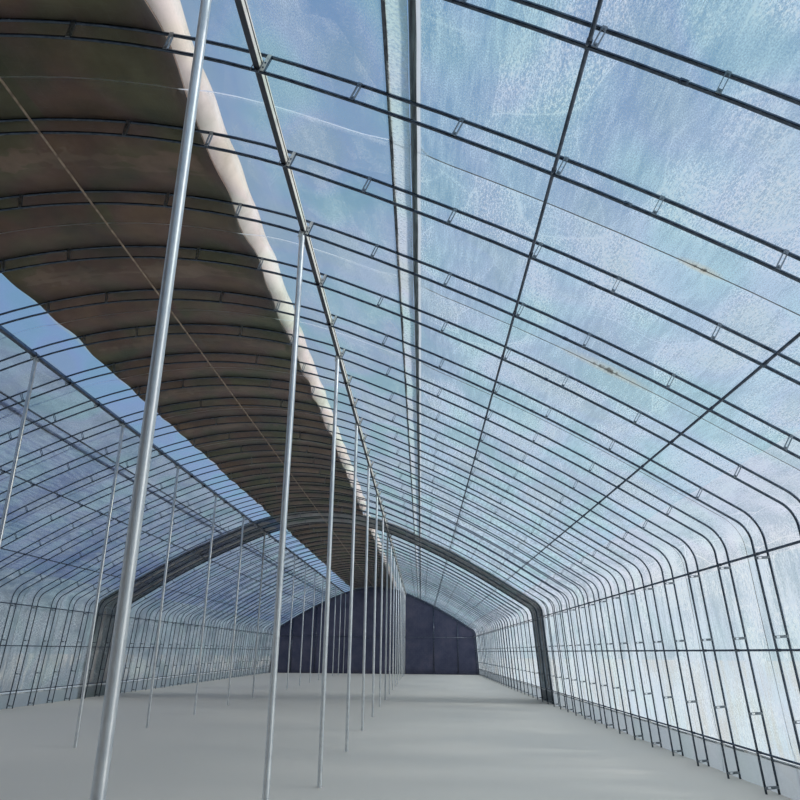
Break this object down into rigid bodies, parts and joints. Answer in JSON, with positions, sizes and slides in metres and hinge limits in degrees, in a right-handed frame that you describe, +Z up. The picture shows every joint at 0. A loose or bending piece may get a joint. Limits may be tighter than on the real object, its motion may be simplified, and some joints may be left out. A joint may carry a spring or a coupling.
{
  "type": "half-scale arched solar greenhouse",
  "caption": "Half-scale long arched greenhouse: double-chord tube ribs on two rows of posts, film walls and roof, rolled quilts on the crown and quilted gables",
  "frame": {"origin": "on the ground at the middle of the plan", "axes": "+X across the house, +Y along it, +Z up"},
  "size_m": [7.1496, 27.062, 3.0448],
  "materials": {
    "post_tube": "bright galvanised tube, faintly spangled",
    "galvanised_tube": "dull galvanised tube with darker weathered patches",
    "clear_film": "clear plastic film, slightly dusty",
    "frosted_film": "frosted plastic film with pale streaks",
    "clip_steel": "dull dark galvanised channel",
    "white_clip": "white coated channel",
    "vent_roll": "film wound on a dark tube",
    "quilt_cloth": "stitched felt quilt, olive brown",
    "dark_quilt": "dark felt quilt with stitched rows"
  },
  "bodies": {
    "root": {"post_row_right": "post_tube", "post_row_left": "post_tube", "post_beams": "galvanised_tube", "ridge_rod": "galvanised_tube", "slope_purlins": "galvanised_tube", "eave_pipes": "galvanised_tube", "wall_pipes": "galvanised_tube", "crown_ribs_right": "galvanised_tube", "crown_ribs_left": "galvanised_tube", "upper_slope_ribs_right": "galvanised_tube", "upper_slope_ribs_left": "galvanised_tube", "lower_slope_ribs_right": "galvanised_tube", "lower_slope_ribs_left": "galvanised_tube", "shoulder_ribs_right": "galvanised_tube", "shoulder_ribs_left": "galvanised_tube", "wall_ribs_right": "galvanised_tube", "wall_ribs_left": "galvanised_tube", "crown_film_right": "clear_film", "crown_film_left": "clear_film", "slope_film_right": "frosted_film", "slope_film_left": "frosted_film", "shoulder_film_right": "frosted_film", "shoulder_film_left": "frosted_film", "wall_film_right": "frosted_film", "wall_film_left": "frosted_film", "skirt_film_right": "frosted_film", "skirt_film_left": "frosted_film", "roof_clips": "clip_steel", "skirt_clips": "white_clip", "vent_pipes": "vent_roll", "quilt_cover": "quilt_cloth", "quilt_rolls": "quilt_cloth", "centre_quilt_band": "dark_quilt", "gable_quilt_near": "dark_quilt", "gable_rail_near": "galvanised_tube", "gable_poles_near": "post_tube", "gable_quilt_far": "dark_quilt", "gable_rail_far": "galvanised_tube", "gable_poles_far": "post_tube"}
  },
  "joints": []
}
